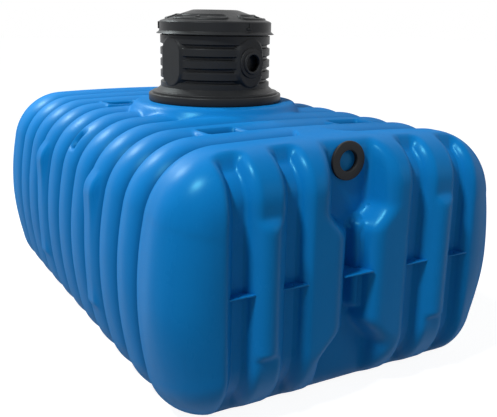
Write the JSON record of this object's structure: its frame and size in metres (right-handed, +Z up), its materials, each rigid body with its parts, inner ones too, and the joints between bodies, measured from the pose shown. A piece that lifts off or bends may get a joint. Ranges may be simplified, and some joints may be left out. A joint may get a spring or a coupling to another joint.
{
  "type": "underground water tank",
  "caption": "Low ribbed plastic water tank for burying, with an inlet seal on one end and a round riser with a lift-off cover on top",
  "frame": {"origin": "on the floor, below the middle of the tank's outline", "axes": "+X across the tank, +Y along it away from the inlet end, +Z up"},
  "size_m": [2.236, 3.3804, 2.078],
  "materials": {
    "blue_plastic": "satin moulded polyethylene",
    "black_plastic": "moulded polyethylene",
    "black_rubber": "moulded rubber"
  },
  "bodies": {
    "tank": {"upper_front_end": "blue_plastic", "lower_front_end": "blue_plastic", "upper_front_section": "blue_plastic", "lower_front_section": "blue_plastic", "upper_manway_section": "blue_plastic", "lower_manway_section": "blue_plastic", "upper_back_section": "blue_plastic", "lower_back_section": "blue_plastic", "upper_back_end": "blue_plastic", "lower_back_end": "blue_plastic", "front_web_tabs": "blue_plastic", "back_web_tabs": "blue_plastic", "riser_flange": "black_plastic", "riser_collar": "black_plastic", "riser_shaft": "black_plastic", "inlet_seal": "black_rubber", "collar_gasket": "black_rubber", "branch_seal": "black_rubber"},
    "cover": {"cover": "black_plastic", "cover_panels": "black_plastic", "cover_lugs": "black_plastic"}
  },
  "joints": [
    {"name": "cover_lift", "type": "slide", "parent": "tank", "child": "cover", "axis": [0, 0, 1], "range_m": [0, 0.3]}
  ]
}
